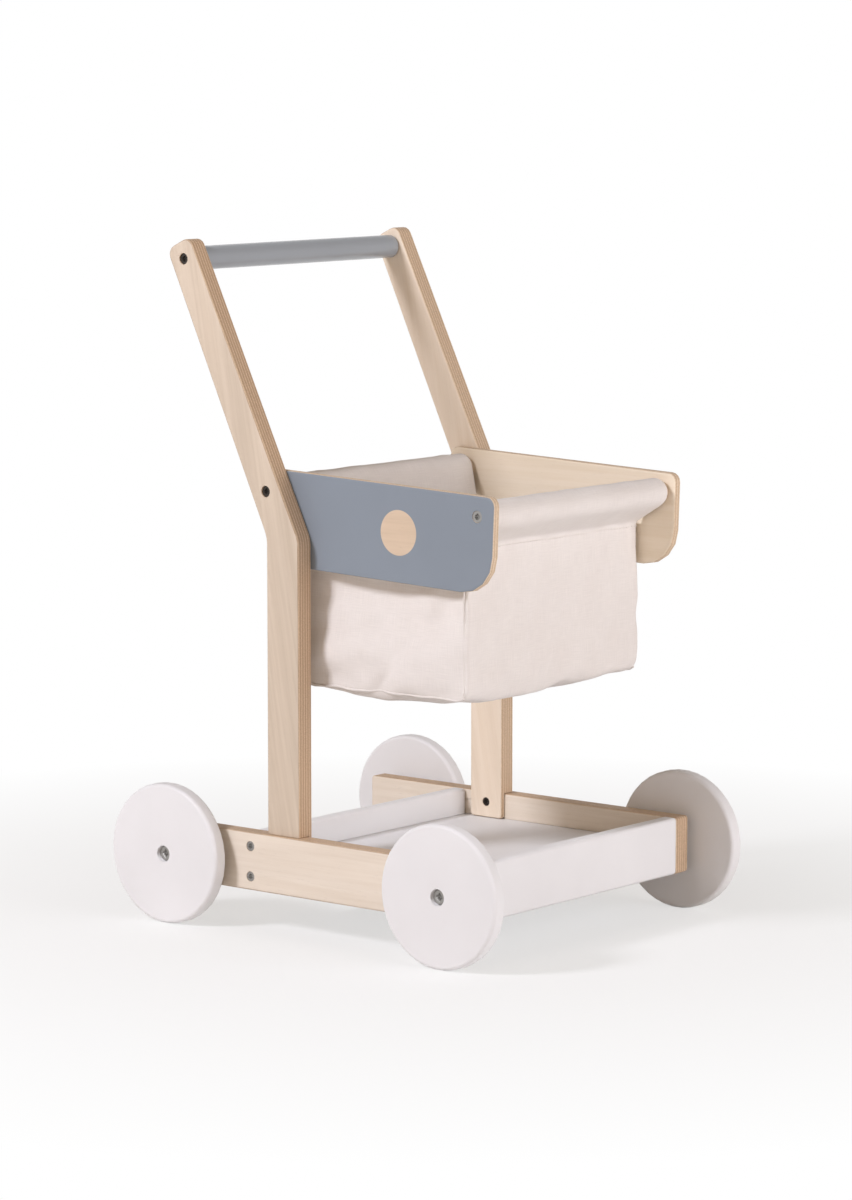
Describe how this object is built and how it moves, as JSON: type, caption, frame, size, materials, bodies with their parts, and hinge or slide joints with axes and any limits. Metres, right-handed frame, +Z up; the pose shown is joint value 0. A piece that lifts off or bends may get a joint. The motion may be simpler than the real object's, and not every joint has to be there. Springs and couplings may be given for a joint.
{
  "type": "toy shopping cart",
  "caption": "Child's push cart of plywood: a tray on disc wheels, bent uprights with a round push handle, and a cloth bag that hangs on rods between side panels.",
  "frame": {"origin": "on the floor, midway between the axles and between the sides", "axes": "+X to the right side of the cart, -Y to its front, +Y to the push handle, +Z up"},
  "size_m": [0.305, 0.3744, 0.5181],
  "materials": {
    "birch_plywood": "clear lacquer, matt",
    "grey_paint": "grey paint on plywood, satin",
    "white_paint": "white paint on plywood, satin",
    "linen": "undyed woven linen",
    "zinc_steel": "zinc plated",
    "dark_steel": "black oxide",
    "nylon": "moulded"
  },
  "bodies": {
    "cart": {"left_rail": "birch_plywood", "left_upright": "birch_plywood", "left_side_panel": "grey_paint", "left_handle_bolt": "dark_steel", "left_rear_rod_bolt": "dark_steel", "left_foot_screw": "dark_steel", "left_front_rod_screw": "zinc_steel", "left_front_lower_board_screw": "zinc_steel", "left_front_upper_board_screw": "zinc_steel", "left_rear_lower_board_screw": "zinc_steel", "left_rear_upper_board_screw": "zinc_steel", "right_rail": "birch_plywood", "right_upright": "birch_plywood", "right_side_panel": "grey_paint", "right_handle_bolt": "dark_steel", "right_rear_rod_bolt": "dark_steel", "right_foot_screw": "dark_steel", "right_front_rod_screw": "zinc_steel", "right_front_lower_board_screw": "zinc_steel", "right_front_upper_board_screw": "zinc_steel", "right_rear_lower_board_screw": "zinc_steel", "right_rear_upper_board_screw": "zinc_steel", "front_board": "white_paint", "front_rod": "birch_plywood", "rear_board": "white_paint", "rear_rod": "birch_plywood", "tray_floor": "white_paint", "handle_bar": "grey_paint", "cloth_bag": "linen", "front_left_spacer": "nylon", "front_left_insert": "zinc_steel", "front_left_axle_bolt": "zinc_steel", "front_right_spacer": "nylon", "front_right_insert": "zinc_steel", "front_right_axle_bolt": "zinc_steel", "rear_left_spacer": "nylon", "rear_left_insert": "zinc_steel", "rear_left_axle_bolt": "zinc_steel", "rear_right_spacer": "nylon", "rear_right_insert": "zinc_steel", "rear_right_axle_bolt": "zinc_steel"},
    "front_left_wheel": {"front_left_wheel": "white_paint"},
    "front_right_wheel": {"front_right_wheel": "white_paint"},
    "rear_left_wheel": {"rear_left_wheel": "white_paint"},
    "rear_right_wheel": {"rear_right_wheel": "white_paint"}
  },
  "joints": [
    {"name": "front_left_wheel_spin", "type": "hinge", "parent": "cart", "child": "front_left_wheel", "pos_m": [-0.1465, -0.1337, 0.0535], "axis": [1, 0, 0], "continuous": true},
    {"name": "front_right_wheel_spin", "type": "hinge", "parent": "cart", "child": "front_right_wheel", "pos_m": [0.1465, -0.1337, 0.0535], "axis": [1, 0, 0], "continuous": true},
    {"name": "rear_left_wheel_spin", "type": "hinge", "parent": "cart", "child": "rear_left_wheel", "pos_m": [-0.1465, 0.1337, 0.0535], "axis": [1, 0, 0], "continuous": true},
    {"name": "rear_right_wheel_spin", "type": "hinge", "parent": "cart", "child": "rear_right_wheel", "pos_m": [0.1465, 0.1337, 0.0535], "axis": [1, 0, 0], "continuous": true}
  ]
}
